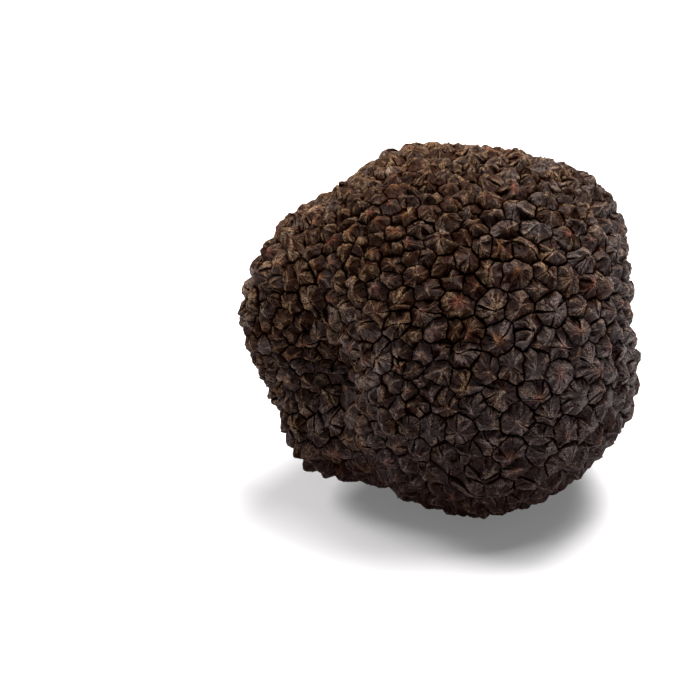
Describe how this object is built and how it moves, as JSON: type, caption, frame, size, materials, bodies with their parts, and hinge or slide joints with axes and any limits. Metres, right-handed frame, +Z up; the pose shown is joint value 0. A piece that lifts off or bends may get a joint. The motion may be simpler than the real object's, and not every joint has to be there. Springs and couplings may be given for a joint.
{
  "type": "black truffle",
  "caption": "Whole black truffle: one firm, knobbly body covered in low pyramid-shaped warts with dark grooves between them, lying on a small worn flat spot.",
  "frame": {"origin": "on the surface that the truffle lies on, under the middle of its bounding box", "axes": "+X along the truffle's longest side, +Y away from its broad front face, +Z up"},
  "size_m": [0.0662, 0.0618, 0.0567],
  "materials": {
    "truffle_skin": "dry, faintly satin dark brown-black skin"
  },
  "bodies": {
    "root": {"truffle": "truffle_skin"}
  },
  "joints": []
}
